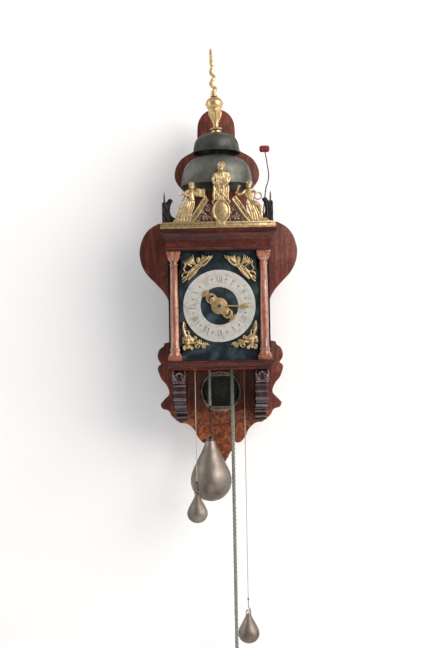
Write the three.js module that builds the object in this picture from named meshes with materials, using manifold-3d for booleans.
// A weight-driven wall clock of the "chair" kind: a movement case on a bracket in front of a shaped
// backboard, bells above it, pear weights on a rope and two cords below, and a pendulum behind.
// Millimetres, +Z up, +Y to the wall. The origin is on the wall, level with the top of the shelf.
import * as THREE from "three";
import { mergeVertices } from "three/addons/utils/BufferGeometryUtils.js";
import Module from "manifold-3d";

const wasm = await Module();
wasm.setup();

// Driving sizes
const gap = 0.3;
const overrun = 1;
const weld = 1e-4;
const boxDepth = 68;
const boardThick = 12;
const caseDepth = 119.4;
const caseHeight = 212.9;
const shelfHalfWidth = 103.2;
const widthInset = { post: 1.2, postIn: 16.2, door: 3.7, column: 16, bracket: 22.7, cornice: 2, board: 25.7 };
const dialHalfWidth = shelfHalfWidth - widthInset.board;
const dialCentre = 105.9;
const ropeRadius = 3.3;
const cordRadius = 0.9;
const pulleyRadius = 22.8;
const beatRise = 16.1;
const beatHeight = caseHeight + beatRise;

// Planes from the wall to the front, worked out from the driving sizes
const boardBack = -(boxDepth + gap);
const boardFront = boardBack - boardThick;
const caseBack = boardFront - gap;
const dialFront = caseBack - caseDepth;

// Finishes
function finish(colour, roughness, metalness) {
  return new THREE.MeshStandardMaterial({ color: colour, roughness, metalness });
}
const wood = finish("#6b3324", 0.35, 0);
const darkWood = finish("#40201a", 0.5, 0);
const columnWood = finish("#a8684a", 0.25, 0);
const velvet = finish("#263c48", 0.95, 0);
const pewter = finish("#bebab0", 0.45, 0.9);
const gilt = finish("#cfa968", 0.35, 1);
const brass = finish("#b08a4a", 0.35, 1);
const bronze = finish("#5f665f", 0.45, 0.9);
const steel = finish("#6d6a68", 0.4, 1);
const lead = finish("#7d746c", 0.5, 0.9);
const greenRope = finish("#87917a", 0.95, 0);
const paleCord = finish("#bfa68c", 0.9, 0);
const redLeather = finish("#84202a", 0.6, 0);
const clearGlass = finish("#dfe8e6", 0.05, 0);

// Meshes made closed, facing out, joined and cut
function signedVolume(index, position) {
  const [a, b, c] = [0, 1, 2].map(() => new THREE.Vector3());
  let sum = 0;
  for (let i = 0; i < index.length; i += 3) {
    a.fromBufferAttribute(position, index[i]);
    b.fromBufferAttribute(position, index[i + 1]);
    c.fromBufferAttribute(position, index[i + 2]);
    sum += a.dot(b.cross(c));
  }
  return sum;
}

function closed(geometry) {
  const copy = geometry.clone();
  copy.deleteAttribute("normal");
  copy.deleteAttribute("uv");
  const merged = mergeVertices(copy, weld);
  const source = merged.index.array;
  const kept = [];
  for (let i = 0; i < source.length; i += 3) {
    const [a, b, c] = [source[i], source[i + 1], source[i + 2]];
    if (a !== b && b !== c && a !== c) kept.push(a, b, c);
  }
  if (signedVolume(kept, merged.attributes.position) < 0) kept.reverse();
  merged.setIndex(kept);
  return merged;
}

function toSolid(geometry) {
  const mesh = closed(geometry);
  const vertProperties = new Float32Array(mesh.attributes.position.array);
  const triVerts = new Uint32Array(mesh.index.array);
  return new wasm.Manifold(new wasm.Mesh({ numProp: 3, vertProperties, triVerts }));
}

function toGeometry(solid) {
  const mesh = solid.getMesh();
  const geometry = new THREE.BufferGeometry();
  geometry.setAttribute("position", new THREE.BufferAttribute(mesh.vertProperties, 3));
  geometry.setIndex(new THREE.BufferAttribute(mesh.triVerts, 1));
  return geometry;
}

function join(...pieces) {
  return toGeometry(pieces.map(toSolid).reduce((sum, piece) => sum.add(piece)));
}

function cut(body, ...cutters) {
  return toGeometry(cutters.map(toSolid).reduce((rest, cutter) => rest.subtract(cutter), toSolid(body)));
}

function common(body, other) {
  return toGeometry(toSolid(body).intersect(toSolid(other)));
}

// Shapes: boxes by their limits, plates, turnings, wires, lofts
function moved(geometry, x, y, z) {
  return geometry.clone().translate(x, y, z);
}

function mirrored(geometry) {
  return geometry.clone().scale(-1, 1, 1);
}

function spunY(geometry, angle, x = 0, z = 0) {
  return geometry.clone().translate(-x, 0, -z).rotateY(angle).translate(x, 0, z);
}

function block(x0, x1, y0, y1, z0, z1) {
  const box = new THREE.BoxGeometry(x1 - x0, y1 - y0, z1 - z0);
  return box.translate((x0 + x1) / 2, (y0 + y1) / 2, (z0 + z1) / 2);
}

function vectors(points) {
  return points.map(([x, y]) => new THREE.Vector2(x, y));
}

// A shape drawn in X and Z, thick towards the front from the plane back
function plate(shape, thick, back = 0) {
  const raised = new THREE.ExtrudeGeometry(shape, { depth: thick, bevelEnabled: false, curveSegments: 8 });
  return raised.rotateX(Math.PI / 2).translate(0, back, 0);
}

// A shape drawn in Y and Z, thick along +X from the plane left
function sidePlate(shape, thick, left) {
  const raised = new THREE.ExtrudeGeometry(shape, { depth: thick, bevelEnabled: false, curveSegments: 8 });
  const axes = [new THREE.Vector3(0, 1, 0), new THREE.Vector3(0, 0, 1), new THREE.Vector3(1, 0, 0)];
  return raised.applyMatrix4(new THREE.Matrix4().makeBasis(...axes)).translate(left, 0, 0);
}

// A profile of [radius, height] turned about Z, or of [radius, depth] turned about Y
function turned(profile, sides) {
  return new THREE.LatheGeometry(vectors(profile), sides).rotateX(Math.PI / 2);
}

function turnedY(profile, sides) {
  return new THREE.LatheGeometry(vectors(profile), sides);
}

function discY(radius, y0, y1, sides) {
  return turnedY([[0, y0], [radius, y0], [radius, y1], [0, y1]], sides);
}

function discZ(radius, z0, z1, sides) {
  return turned([[0, z0], [radius, z0], [radius, z1], [0, z1]], sides);
}

function polygon(radius, sides, x = 0, y = 0) {
  const shape = new THREE.Shape();
  for (let i = 0; i < sides; i++) {
    const angle = (2 * Math.PI * i) / sides;
    const point = [x + radius * Math.cos(angle), y + radius * Math.sin(angle)];
    if (i) shape.lineTo(...point);
    else shape.moveTo(...point);
  }
  shape.closePath();
  return shape;
}

function wire(points, radius, sides, steps, loop = false) {
  const path = new THREE.CatmullRomCurve3(points.map((p) => new THREE.Vector3(...p)), loop);
  const section = polygon(radius, sides);
  return new THREE.ExtrudeGeometry(section, { steps, extrudePath: path, bevelEnabled: false });
}

function ball(radius, x, y, z, sx = 1, sy = 1, sz = 1) {
  return new THREE.SphereGeometry(radius, 7, 5).rotateX(Math.PI / 2).scale(sx, sy, sz).translate(x, y, z);
}

// A closed body through rings of as many points each, capped flat at both ends
function loft(rings) {
  const sides = rings[0].length;
  const middle = (ring) => ring.reduce((sum, p) => sum.add(p), new THREE.Vector3()).divideScalar(sides);
  const points = [...rings.flat(), middle(rings[0]), middle(rings[rings.length - 1])];
  const index = [];
  for (let j = 0; j < sides; j++) {
    const k = (j + 1) % sides;
    for (let i = 0; i + 1 < rings.length; i++) {
      const [a, b] = [i * sides, (i + 1) * sides];
      index.push(a + j, a + k, b + k, a + j, b + k, b + j);
    }
    const last = (rings.length - 1) * sides;
    index.push(points.length - 2, k, j, points.length - 1, last + j, last + k);
  }
  const geometry = new THREE.BufferGeometry().setFromPoints(points);
  geometry.setIndex(index);
  return geometry;
}

// Runs of [x, z] shares: a run of two points is straight, a longer one is a smooth curve
const tracePitch = 15;
function traced(runs, place, pitch = tracePitch) {
  const points = [];
  for (const run of runs) {
    const ends = run.map(place);
    const curve = new THREE.SplineCurve(ends);
    const count = Math.max(2, Math.round(curve.getLength() / pitch));
    const fine = ends.length > 2 ? curve.getSpacedPoints(count) : ends;
    for (const p of fine) {
      if (!points.length || p.distanceTo(points[points.length - 1]) > weld) points.push(p);
    }
  }
  return points;
}

// A closed outline from its right half, listed from the top to the bottom
function symmetric(rightHalf) {
  const left = rightHalf.filter((p) => p.x > weld).map((p) => new THREE.Vector2(-p.x, p.y));
  return new THREE.Shape([...rightHalf, ...left.reverse()]);
}

const clock = new THREE.Group();
function node(name, geometry, material) {
  const mesh = new THREE.Mesh(closed(geometry), material);
  mesh.name = name;
  clock.add(mesh);
}

// Backboard: its outline is shares of the half width, and of the height above or the drop below the shelf
const board = { top: 517, halfWidth: 163.3, drop: 224 };
const boardShares = [
  [[0, 1], [0.092, 0.996], [0.171, 0.979], [0.224, 0.95], [0.239, 0.917], [0.239, 0.868]],
  [[0.239, 0.868], [0.257, 0.847], [0.306, 0.83], [0.367, 0.82]],
  [[0.367, 0.82], [0.453, 0.801], [0.514, 0.772], [0.539, 0.742], [0.527, 0.716], [0.478, 0.692]],
  [[0.478, 0.692], [0.404, 0.663], [0.374, 0.629], [0.38, 0.59], [0.459, 0.557], [0.6, 0.547],
    [0.753, 0.545]],
  [[0.753, 0.545], [0.87, 0.524], [0.951, 0.491], [0.996, 0.448], [1, 0.413], [0.97, 0.374],
    [0.906, 0.339], [0.802, 0.304], [0.704, 0.269], [0.643, 0.231], [0.631, 0.174]],
  [[0.631, 0.174], [0.631, 0.07]],
  [[0.631, 0.07], [0.706, 0.065]],
  [[0.706, 0.065], [0.716, 0.053]],
  [[0.716, 0.053], [0.772, 0.039], [0.796, 0.015], [0.781, -0.009], [0.751, -0.042]],
  [[0.751, -0.042], [0.79, -0.067], [0.793, -0.102], [0.753, -0.18], [0.697, -0.229], [0.657, -0.292],
    [0.666, -0.332], [0.704, -0.36], [0.769, -0.412]],
  [[0.769, -0.412], [0.759, -0.442], [0.734, -0.46], [0.669, -0.475], [0.629, -0.524], [0.58, -0.56]],
  [[0.58, -0.56], [0.518, -0.592]],
  [[0.518, -0.592], [0.437, -0.6], [0.37, -0.636], [0.331, -0.675], [0.313, -0.711]],
  [[0.313, -0.711], [0.279, -0.746], [0.23, -0.779], [0.175, -0.777], [0.135, -0.75], [0.11, -0.717]],
  [[0.11, -0.717], [0.132, -0.768], [0.138, -0.812], [0.124, -0.85]],
  [[0.124, -0.85], [0.096, -0.883], [0.068, -0.923], [0, -1]],
];
const windowEye = { height: -67.4, hole: 38, glass: 37.7, glassThick: 2, ring: 43.5, lip: 34, thick: 4 };
const arborHole = 6;

function backboard() {
  const place = ([x, z]) => new THREE.Vector2(x * board.halfWidth, z * (z > 0 ? board.top : board.drop));
  const outline = symmetric(traced(boardShares, place));
  const eye = polygon(windowEye.hole, 24, 0, windowEye.height);
  const arbor = polygon(arborHole, 12, 0, beatHeight);
  outline.holes.push(new THREE.Path(eye.getPoints()), new THREE.Path(arbor.getPoints()));
  return plate(outline, boardThick, boardBack);
}
node("backboard", backboard(), wood);

// Pendulum box: back, sides, top and bottom, open to the backboard
const box = { halfWidth: 60, top: 285, bottom: -122, wall: 6 };
const keyhole = { eye: 6, slot: 2.5, rise: 13, high: 258 };

function pendulumBox() {
  const outside = block(-box.halfWidth, box.halfWidth, -boxDepth, 0, box.bottom, box.top);
  const inner = box.halfWidth - box.wall;
  const inside = block(-inner, inner, -boxDepth - overrun, -box.wall, box.bottom + box.wall,
    box.top - box.wall);
  const { eye, slot, rise, high } = keyhole;
  const entry = moved(discY(eye, -box.wall - overrun, overrun, 16), 0, 0, high);
  const neck = block(-slot, slot, -box.wall - overrun, overrun, high, high + rise);
  return cut(outside, inside, entry, neck);
}
node("pendulum_box", pendulumBox(), darkWood);

// Window frame: a ring with a scalloped and pierced rim, and a palmette across it above and below
const palmette = { high: 14, halfWidth: 15, beads: 9 };
const palmetteShares = [[0, 1], [0.3, 0.8], [0.5, 0.9], [0.66, 0.6], [1, 0.5], [0.86, 0.24], [0.4, 0.2],
  [0, 0]];

function windowFrame() {
  const centre = windowEye.height;
  const ringWidth = windowEye.ring - windowEye.lip;
  const middle = windowEye.lip + ringWidth / 2;
  const outline = new THREE.Shape();
  const steps = palmette.beads * 4;
  for (let i = 0; i < steps; i++) {
    const angle = (2 * Math.PI * i) / steps;
    const radius = windowEye.ring - (ringWidth / 6) * (1 - Math.cos(palmette.beads * angle));
    const point = [radius * Math.cos(angle), centre + radius * Math.sin(angle)];
    if (i) outline.lineTo(...point);
    else outline.moveTo(...point);
  }
  outline.closePath();
  outline.holes.push(new THREE.Path(polygon(windowEye.lip, 24, 0, centre).getPoints()));
  for (let i = 0; i < palmette.beads; i++) {
    const angle = (2 * Math.PI * i) / palmette.beads;
    const [x, z] = [middle * Math.cos(angle), centre + middle * Math.sin(angle)];
    outline.holes.push(new THREE.Path(polygon(ringWidth / 5, 4, x, z).getPoints()));
  }
  const ring = plate(outline, windowEye.thick / 2, boardFront - gap);
  const inward = windowEye.ring - palmette.high;
  return join(ring, ...[1, -1].map((way) => palmetteAt(way, centre + way * inward)));
}

function palmetteAt(way, base) {
  const half = palmetteShares.map(([x, z]) => {
    return new THREE.Vector2(x * palmette.halfWidth, base + way * z * palmette.high);
  });
  return plate(symmetric(half), windowEye.thick, boardFront - gap);
}
node("window_frame", windowFrame(), gilt);
node("window_glass", moved(discY(windowEye.glass, -windowEye.glassThick, 0, 24), 0,
  boardFront + windowEye.glassThick, windowEye.height), clearGlass);

// Shelf: an ogee edge stepping in below, with a hole for each line
const shelf = { halfWidth: shelfHalfWidth, front: -222, thick: 18, step: 5.2 };
const shelfEdgeShares = [[0, 0], [0, 0.26], [0.25, 0.42], [0.45, 0.66], [1, 0.74], [1, 1]];
const lines = {
  drive: [-pulleyRadius, -137], tail: [pulleyRadius, -137], alarm: [-50, -194.5], strike: [48, -106],
};
const lineHole = { rope: 6, cord: 3 };

function lineHoles(low, high) {
  return Object.entries(lines).map(([name, [x, y]]) => {
    const radius = name === "drive" || name === "tail" ? lineHole.rope : lineHole.cord;
    return moved(discZ(radius, low - overrun, high + overrun, 8), x, y, 0);
  });
}

function ringAt(halfWidth, front, back, z) {
  const corners = [[-halfWidth, front], [halfWidth, front], [halfWidth, back], [-halfWidth, back]];
  return corners.map(([x, y]) => new THREE.Vector3(x, y, z));
}

function shelfBoard() {
  const rings = shelfEdgeShares.map(([inward, down]) => {
    const inset = inward * shelf.step;
    return ringAt(shelf.halfWidth - inset, shelf.front + inset, caseBack, -down * shelf.thick);
  });
  return cut(loft(rings), ...lineHoles(-shelf.thick, 0));
}
node("shelf", shelfBoard(), wood);

// Consoles: a scroll under the shelf, a reeded block, and a reeded foot that sweeps back to the board
const bracket = {
  centre: shelfHalfWidth - widthInset.bracket, scrollWidth: 29, width: 24, bottom: -125, reach: 124, reed: 1.6,
};
const bracketShares = [
  [[0, 0], [0.96, 0]],
  [[0.96, 0], [1, 0.1], [0.96, 0.2], [0.88, 0.25]],
  [[0.88, 0.25], [0.9, 0.27]],
  [[0.9, 0.27], [0.9, 0.56]],
  [[0.9, 0.56], [0.85, 0.62], [0.66, 0.71], [0.45, 0.77], [0.31, 0.84], [0.27, 0.93], [0.26, 1]],
  [[0.26, 1], [0, 1]],
];
const reedShares = [-0.36, -0.12, 0.12, 0.36];
const rollShares = [[0.3, 0.85], [0.27, 0.91], [0.258, 0.97]];
const bracketPitch = 13;

function consoleBracket() {
  const top = -shelf.thick - gap;
  const height = top - bracket.bottom;
  const place = ([y, z]) => new THREE.Vector2(caseBack - y * bracket.reach, top - gap - z * (height - gap));
  const profile = new THREE.Shape(traced(bracketShares, place, bracketPitch));
  const body = sidePlate(profile, bracket.width, -bracket.width / 2);
  const front = caseBack - bracket.reach;
  const radius = height * 0.125;
  const volute = turnedX(radius, bracket.scrollWidth, front + radius, top - radius - gap, 14);
  const slab = block(-bracket.scrollWidth / 2, bracket.scrollWidth / 2, front + radius, caseBack,
    top - radius * 0.9, top);
  const reeds = reedShares.map((share) => {
    const reed = discZ(bracket.reed, top - height * 0.56, top - height * 0.27, 6);
    return moved(reed, share * bracket.width, caseBack - 0.9 * bracket.reach, 0);
  });
  const rolls = rollShares.map(([out, down]) => {
    return turnedX(bracket.reed * 1.2, bracket.width, caseBack - bracket.reach * out,
      top - down * height, 6);
  });
  return join(body, volute, slab, ...reeds, ...rolls);
}

function turnedX(radius, width, y, z, sides) {
  const roll = discY(radius, -width / 2, width / 2, sides).rotateZ(Math.PI / 2);
  return roll.translate(0, y, z);
}
node("console_left", moved(consoleBracket(), -bracket.centre, 0, 0), wood);
node("console_right", moved(consoleBracket(), bracket.centre, 0, 0), wood);

// Case back: a board with a post at each side, pierced for the verge
const caseShell = {
  postOut: shelfHalfWidth - widthInset.post, postIn: shelfHalfWidth - widthInset.postIn,
  boardThick: 8, postDepth: 14,
};

function caseBackBoard() {
  const high = caseHeight;
  const panel = block(-caseShell.postIn - overrun, caseShell.postIn + overrun,
    caseBack - caseShell.boardThick,
    caseBack, gap, high);
  const posts = [-1, 1].map((side) => {
    const [x0, x1] = [side * caseShell.postIn, side * caseShell.postOut].sort((a, b) => a - b);
    return block(x0, x1, caseBack - caseShell.postDepth, caseBack, gap, high);
  });
  return join(panel, ...posts);
}
node("case_back", caseBackBoard(), darkWood);

// Side doors: a frame with three hinge knuckles on its outer rear edge, round a pane
const doorRoom = { low: 3, top: 2.9 };
const door = {
  out: shelfHalfWidth - widthInset.door, thick: 7, stile: 11, front: -189,
  low: doorRoom.low, high: caseHeight - doorRoom.top,
  knuckle: 2, pane: 2, knuckleLong: 16,
};
const doorRear = caseBack - caseShell.postDepth - gap;
const doorHinge = { x: door.out, y: doorRear - door.knuckle };

function doorFrame() {
  const inner = door.out - door.thick;
  const outline = block(inner, door.out, door.front, doorRear - gap, door.low, door.high);
  const hole = block(inner - overrun, door.out + overrun, door.front + door.stile,
    doorRear - gap - door.stile,
    door.low + door.stile, door.high - door.stile);
  const span = door.high - door.low;
  const knuckles = [0.15, 0.5, 0.85].map((share) => {
    const z = door.low + span * share - door.knuckleLong / 2;
    return moved(discZ(door.knuckle, z, z + door.knuckleLong, 10), doorHinge.x, doorHinge.y, 0);
  });
  return join(cut(outline, hole), ...knuckles);
}

function doorPane() {
  const middle = door.out - door.thick / 2;
  const edge = door.stile + gap;
  return block(middle - door.pane / 2, middle + door.pane / 2, door.front + edge, doorRear - gap - edge,
    door.low + edge, door.high - edge);
}
node("side_door_left", mirrored(doorFrame()), wood);
node("side_door_right", doorFrame(), wood);
node("door_glass_left", mirrored(doorPane()), clearGlass);
node("door_glass_right", doorPane(), clearGlass);

// Columns: plinth, base rings, a swelling shaft and a spreading capital
const column = {
  x: shelfHalfWidth - widthInset.column, y: -203.5, plinth: 13.2, plinthHigh: 16, radius: 9.3, capital: 30,
};
const columnShares = [
  [0.0, 0], [1.3, 0], [1.36, 0.015], [1.1, 0.032], [1.22, 0.042], [1, 0.06],
  [1.01, 0.4], [0.84, 0.85], [1.02, 0.856], [0.86, 0.872], [0.94, 0.9],
  [1.36, 0.975], [1.36, 1], [0, 1],
];

function turnedColumn() {
  const base = gap + column.plinthHigh;
  const height = caseHeight - gap - base - column.plinthHigh / 4;
  const shaft = turned(columnShares.map(([r, z]) => [r * column.radius, base + z * height]), 12);
  const half = column.plinth;
  const plinth = block(-half, half, -half * 0.9, half * 0.9, gap, base + overrun / 2);
  const abacus = block(-half, half, -half * 0.9, half * 0.9, base + height - overrun / 2, caseHeight);
  return join(shaft, plinth, abacus);
}
node("column_left", moved(turnedColumn(), -column.x, column.y, 0), columnWood);
node("column_right", moved(turnedColumn(), column.x, column.y, 0), columnWood);

// Cornice: mitred mouldings round a top board, hollow below, slotted for the bell post and hammers
const cornice = {
  halfWidth: shelfHalfWidth - widthInset.cornice, front: -217.5, high: 41.5, flare: 12.3, topBoard: 8, wall: 8,
};
const corniceShares = [
  [0, 0], [0.16, 0.03], [0.2, 0.09], [0.12, 0.14], [0.02, 0.17], [0.02, 0.5], [0.12, 0.56], [0.2, 0.58],
  [0.34, 0.68], [0.62, 0.79], [0.9, 0.84], [0.9, 0.88], [1, 0.89], [1, 1],
];
const corniceLow = caseHeight + gap;
const caseTop = corniceLow + cornice.high;
const bellPost = { y: -153.9, radius: 4 };
const slotInset = 14.2;
const slots = { hour: -45, half: cornice.halfWidth - slotInset, halfWidth: 6, halfDepth: 4 };

function corniceBody() {
  const rings = corniceShares.map(([out, up]) => {
    const flare = out * cornice.flare;
    return ringAt(cornice.halfWidth + flare, cornice.front - flare, caseBack,
      corniceLow + up * cornice.high);
  });
  const inner = cornice.halfWidth - cornice.wall;
  const cavity = block(-inner, inner, cornice.front + cornice.wall, caseBack - cornice.wall,
    corniceLow - overrun, caseTop - cornice.topBoard);
  const top = caseTop - cornice.topBoard - overrun;
  const hammerSlots = [slots.hour, slots.half].map((x) => block(x - slots.halfWidth, x + slots.halfWidth,
    bellPost.y - slots.halfDepth, bellPost.y + slots.halfDepth, top, caseTop + overrun));
  const arbor = moved(discY(arborHole, caseBack - cornice.wall - overrun, caseBack + overrun, 12), 0, 0,
    beatHeight);
  return cut(loft([...rings].reverse()), cavity, arbor, ...hammerSlots);
}
node("cornice", corniceBody(), wood);

// Dial: velvet-covered board, engraved chapter ring and four cast spandrels
const dialThick = 4;
const ringInset = 6.9;
const ringWide = 33.6;
const ringOuter = dialHalfWidth - ringInset;
const ring = { outer: ringOuter, inner: ringOuter - ringWide, thick: 1.5 };
const dialHole = 9;

const neckDrop = 36.9;
const neckInset = 4.1;
const dialNeck = { halfWidth: dialHalfWidth - neckInset, low: 29, high: caseHeight - neckDrop };

function dialBoard() {
  const [wide, narrow] = [dialHalfWidth, dialNeck.halfWidth];
  const half = [[0, caseHeight], [narrow, caseHeight], [narrow, dialNeck.high], [wide, dialNeck.high],
    [wide, dialNeck.low], [narrow, dialNeck.low], [narrow, gap], [0, gap]];
  const outline = symmetric(vectors(half));
  outline.holes.push(new THREE.Path(polygon(dialHole, 16, 0, dialCentre).getPoints()));
  return plate(outline, dialThick, dialFront + dialThick);
}
node("dial_board", dialBoard(), velvet);

function chapterRing() {
  const outline = polygon(ring.outer, 48, 0, dialCentre);
  outline.holes.push(new THREE.Path(polygon(ring.inner, 36, 0, dialCentre).getPoints()));
  return plate(outline, ring.thick, dialFront - gap);
}
node("chapter_ring", chapterRing(), pewter);

// Spandrels: a winged child's head with scrolls, drawn in shares of its own box, corner outwards
const spandrelInset = 13.5;
const spandrel = { wide: dialHalfWidth - spandrelInset, tall: 46, thick: 3, head: 8, inset: 4.5, pitch: 10 };
const upperWingShares = [
  [[0, 0.44], [0.04, 0.7], [0.2, 0.95], [0.36, 1], [0.5, 0.9], [0.62, 0.86], [0.8, 0.92], [0.98, 0.9]],
  [[0.98, 0.9], [0.9, 0.76], [0.7, 0.66], [0.52, 0.6], [0.42, 0.44]],
  [[0.42, 0.44], [0.36, 0.24], [0.24, 0.06], [0.12, 0], [0.1, 0.18], [0, 0.44]],
];
const lowerWingShares = [
  [[0.02, 0.5], [0, 0.78], [0.08, 1], [0.14, 0.84], [0.24, 0.66]],
  [[0.24, 0.66], [0.42, 0.5], [0.66, 0.44], [0.84, 0.36], [1, 0.16], [0.82, 0.2]],
  [[0.82, 0.2], [0.6, 0.04], [0.4, 0.06], [0.22, 0], [0.08, 0.14], [0.02, 0.5]],
];

function spandrelAt(wingShares, cornerX, cornerZ, wayX, wayZ, headShare) {
  const place = ([x, z]) => {
    return new THREE.Vector2(cornerX + wayX * x * spandrel.wide, cornerZ + wayZ * z * spandrel.tall);
  };
  const outline = new THREE.Shape(traced(wingShares, place, spandrel.pitch).slice(0, -1));
  const leaf = plate(outline, spandrel.thick / 2, dialFront - gap);
  const spot = place(headShare);
  const head = ball(spandrel.head, spot.x, dialFront - gap, spot.y, 1, 1 / 2, 1.1);
  const front = block(-dialHalfWidth, dialHalfWidth, dialFront - spandrel.head, dialFront - gap, gap,
    caseHeight);
  const ringRoom = moved(discY(ring.outer + gap, dialFront - spandrel.head - overrun, dialFront, 48), 0,
    0, dialCentre);
  return cut(common(join(leaf, head), front), ringRoom);
}

function spandrelPair(name, wingShares, cornerZ, wayZ, headShare) {
  const corner = dialHalfWidth - spandrel.inset;
  node(`spandrel_${name}_left`, spandrelAt(wingShares, -corner, cornerZ, 1, wayZ, headShare), gilt);
  node(`spandrel_${name}_right`, spandrelAt(wingShares, corner, cornerZ, -1, wayZ, headShare), gilt);
}
spandrelPair("upper", upperWingShares, caseHeight - spandrel.inset - spandrel.tall, 1, [0.3, 0.72]);
spandrelPair("lower", lowerWingShares, spandrel.inset * 3, 1, [0.19, 0.3]);

// Crest rail with openwork scrolls
const railOut = 9.8;
const rail = { halfWidth: cornice.halfWidth + railOut, high: 12.6, thick: 7.4, front: -229.6, moulding: 1.4 };
const railLow = caseTop + gap;
const railTop = railLow + rail.high;
const crestPlane = rail.front + rail.thick / 2;
const crestShift = 6;
const curls = { inner: 24, outer: 44, wire: 2.1, turn: 6.5, sides: 4, steps: 7 };

function crestRail() {
  const back = rail.front + rail.thick;
  const bar = block(-rail.halfWidth, rail.halfWidth, rail.front, back, railLow, railTop);
  const fillets = [0.16, 0.84].map((share) => block(-rail.halfWidth, rail.halfWidth,
    rail.front - rail.moulding,
    back - gap, railLow + share * rail.high - rail.moulding, railLow + share * rail.high + rail.moulding));
  const right = openwork();
  const scrolls = join(...right, ...right.map(mirrored));
  return join(bar, ...fillets, moved(scrolls, crestShift, 0, 0));
}

function openwork() {
  const { inner, outer, wire: thick, turn, sides, steps } = curls;
  const middle = (inner + outer) / 2;
  const base = railTop - thick / 2;
  const curl = (x, z, size, way) => {
    const points = [];
    for (let i = 0; i <= steps; i++) {
      const angle = way * (i / steps) * 1.5 * Math.PI - Math.PI / 2;
      const radius = size * (1 - i / (steps * 1.5));
      points.push([x + way * radius * Math.cos(angle), crestPlane, z + radius * Math.sin(angle)]);
    }
    return wire(points, thick, sides, steps);
  };
  const stem = wire([[middle, crestPlane, base], [middle + thick, crestPlane, base + turn * 2],
    [middle - turn, crestPlane, base + turn * 4]], thick, sides, 3);
  return [curl(middle + turn, base + turn, turn, 1), curl(middle - turn, base + turn * 1.3, turn, -1),
    stem];
}
node("crest_rail", crestRail(), gilt);

// Crest figures: robes and limbs as swelling lofts along rows of [x, z, half width] shares of a height
const figure = { height: 118, depth: 6, shieldHalf: 16, shieldHigh: 46, head: 8.6, lean: 0.1, sides: 7 };

function swelling(rows, size, centreY, depth, sides = figure.sides) {
  const rings = rows.map(([x, z, half], i) => {
    const [before, after] = [rows[Math.max(i - 1, 0)], rows[Math.min(i + 1, rows.length - 1)]];
    const slope = Math.atan2(after[1] - before[1], after[0] - before[0]);
    return Array.from({ length: sides }, (_, j) => {
      const angle = (2 * Math.PI * j) / sides;
      const across = half * size * Math.cos(angle);
      const [dx, dz] = [-Math.sin(slope) * across, Math.cos(slope) * across];
      return new THREE.Vector3(x * size + dx, centreY + Math.sin(angle) * depth, z * size + dz);
    });
  });
  return loft(rings);
}

function aboveRail(geometry) {
  const reach = 2 * rail.halfWidth;
  return common(geometry, block(-reach, reach, rail.front - reach, rail.front + reach, railTop + gap,
    railTop + reach));
}

const standingRobeShares = [[0, 0.34, 0.1], [0, 0.46, 0.13], [0, 0.58, 0.12], [0, 0.7, 0.09],
  [0, 0.82, 0.1],
  [0, 0.87, 0.04], [0, 0.93, 0.03]];
const standingArmShares = [[0.06, 0.8, 0.03], [0.14, 0.68, 0.028], [0.12, 0.54, 0.026],
  [0.05, 0.48, 0.022]];

function centreFigure() {
  const robe = moved(swelling(standingRobeShares, figure.height, crestPlane, figure.depth), 0, 0, railTop);
  const arm = moved(swelling(standingArmShares, figure.height, crestPlane - 1, figure.depth / 2, 6), 0,
    0, railTop);
  const head = ball(figure.head, 0, crestPlane, railTop + figure.height * 0.93, 0.86, 0.86, 1.06);
  const shieldHigh = figure.shieldHigh / 2;
  const shield = ball(shieldHigh, 0, crestPlane, railTop + shieldHigh - gap, figure.shieldHalf / shieldHigh,
    figure.depth / shieldHigh, 1);
  const lean = new THREE.Matrix4().makeShear(0, 0, 0, 0, 0, -figure.lean);
  const upright = join(robe, arm, mirrored(arm), head, shield).translate(0, 0, -railTop);
  return aboveRail(upright.applyMatrix4(lean).translate(crestShift, 0, railTop));
}
node("crest_centre_figure", centreFigure(), gilt);

// The reclining figures lean on slanting ribbons and face outwards: robe, arms and what they hold
const recliner = { height: 84, depth: 5.5, out: 55, head: 7.2, ribbonHalf: 3.4 };
const lyingRobeShares = [[0.36, 0.05, 0.07], [0.26, 0.13, 0.14], [0.1, 0.28, 0.2], [0, 0.44, 0.15],
  [-0.02, 0.68, 0.1], [-0.01, 0.78, 0.045], [0, 0.86, 0.03]];
const innerArmShares = [[-0.04, 0.72, 0.05], [-0.16, 0.7, 0.045], [-0.24, 0.78, 0.04]];
const outerArmShares = [[0.04, 0.72, 0.05], [0.16, 0.68, 0.045], [0.26, 0.68, 0.04]];
const hornShares = [[0.02, 0.86, 0.018], [0.16, 0.8, 0.02], [0.27, 0.74, 0.03], [0.3, 0.72, 0.055]];
const slantShares = [[0.01, 0.02], [-0.21, 0.31], [-0.43, 0.6]];

function reclining(held) {
  const part = (rows, depth, sides) => swelling(rows, recliner.height, crestPlane, depth, sides);
  const slant = slantShares.map(([x, z]) => [x * recliner.height, crestPlane, z * recliner.height]);
  const pieces = [
    part(lyingRobeShares, recliner.depth, figure.sides),
    part(innerArmShares, recliner.depth / 2, 5),
    part(outerArmShares, recliner.depth / 2, 5),
    ball(recliner.head, 0, crestPlane, recliner.height * 0.93, 0.9, 0.9, 1.05),
    wire(slant, recliner.ribbonHalf, 6, 3),
    held,
  ];
  return aboveRail(moved(join(...pieces), recliner.out, 0, railTop));
}

function wreath() {
  const [x, z, size] = [recliner.height * 0.18, recliner.height * 0.6, recliner.head];
  const points = Array.from({ length: 10 }, (_, i) => {
    const angle = (2 * Math.PI * i) / 10;
    return [x + size * Math.cos(angle), crestPlane, z + size * Math.sin(angle)];
  });
  return wire(points, size / 4, 4, 10, true);
}
const horn = swelling(hornShares, recliner.height, crestPlane, recliner.depth / 2, 6);
node("crest_left_figure", moved(mirrored(reclining(horn)), crestShift, 0, 0), gilt);
node("crest_right_figure", moved(reclining(wreath()), crestShift, 0, 0), gilt);

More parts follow.
